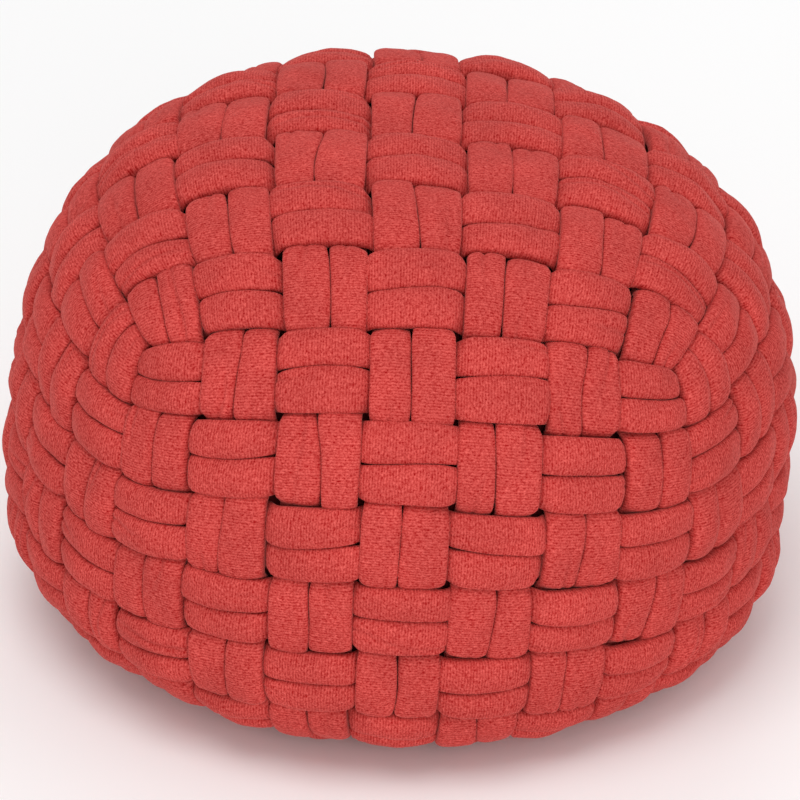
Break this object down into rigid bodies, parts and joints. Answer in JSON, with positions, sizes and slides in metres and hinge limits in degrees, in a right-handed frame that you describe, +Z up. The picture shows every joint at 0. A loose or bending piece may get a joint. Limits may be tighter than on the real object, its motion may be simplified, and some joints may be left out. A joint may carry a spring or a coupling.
{
  "type": "woven floor pouf",
  "caption": "Low round floor pouf for sitting on or resting the feet on, covered in paired padded fabric strands woven over and under each other like a ball.",
  "frame": {"origin": "on the floor under the middle of the pouf", "axes": "+Z up, -Y towards the viewer at the front, +X to the right seen from the front"},
  "size_m": [0.5008, 0.498, 0.3372],
  "materials": {
    "strand_knit": "fine ribbed velour knit, matt with a soft sheen",
    "bag_cotton": "plain cotton dyed dark red, so that nothing pale shows between the strands",
    "filling_foam": "loose white fibre and crumb filling"
  },
  "bodies": {
    "root": {"belt_strand_01": "strand_knit", "belt_strand_02": "strand_knit", "belt_strand_03": "strand_knit", "belt_strand_04": "strand_knit", "belt_strand_05": "strand_knit", "belt_strand_06": "strand_knit", "belt_strand_07": "strand_knit", "belt_strand_08": "strand_knit", "belt_strand_09": "strand_knit", "belt_strand_10": "strand_knit", "belt_strand_11": "strand_knit", "belt_strand_12": "strand_knit", "belt_strand_13": "strand_knit", "belt_strand_14": "strand_knit", "side_loop_01": "strand_knit", "side_loop_02": "strand_knit", "side_loop_03": "strand_knit", "side_loop_04": "strand_knit", "side_loop_05": "strand_knit", "side_loop_06": "strand_knit", "side_loop_07": "strand_knit", "side_loop_08": "strand_knit", "side_loop_09": "strand_knit", "side_loop_10": "strand_knit", "side_loop_11": "strand_knit", "side_loop_12": "strand_knit", "side_loop_13": "strand_knit", "side_loop_14": "strand_knit", "front_loop_01": "strand_knit", "front_loop_02": "strand_knit", "front_loop_03": "strand_knit", "front_loop_04": "strand_knit", "front_loop_05": "strand_knit", "front_loop_06": "strand_knit", "front_loop_07": "strand_knit", "front_loop_08": "strand_knit", "front_loop_09": "strand_knit", "front_loop_10": "strand_knit", "front_loop_11": "strand_knit", "front_loop_12": "strand_knit", "front_loop_13": "strand_knit", "front_loop_14": "strand_knit", "bag_gore_1": "bag_cotton", "bag_gore_2": "bag_cotton", "bag_gore_3": "bag_cotton", "bag_gore_4": "bag_cotton", "bag_gore_5": "bag_cotton", "bag_gore_6": "bag_cotton", "bag_top_disc": "bag_cotton", "bag_base_disc": "bag_cotton", "filling": "filling_foam"}
  },
  "joints": []
}
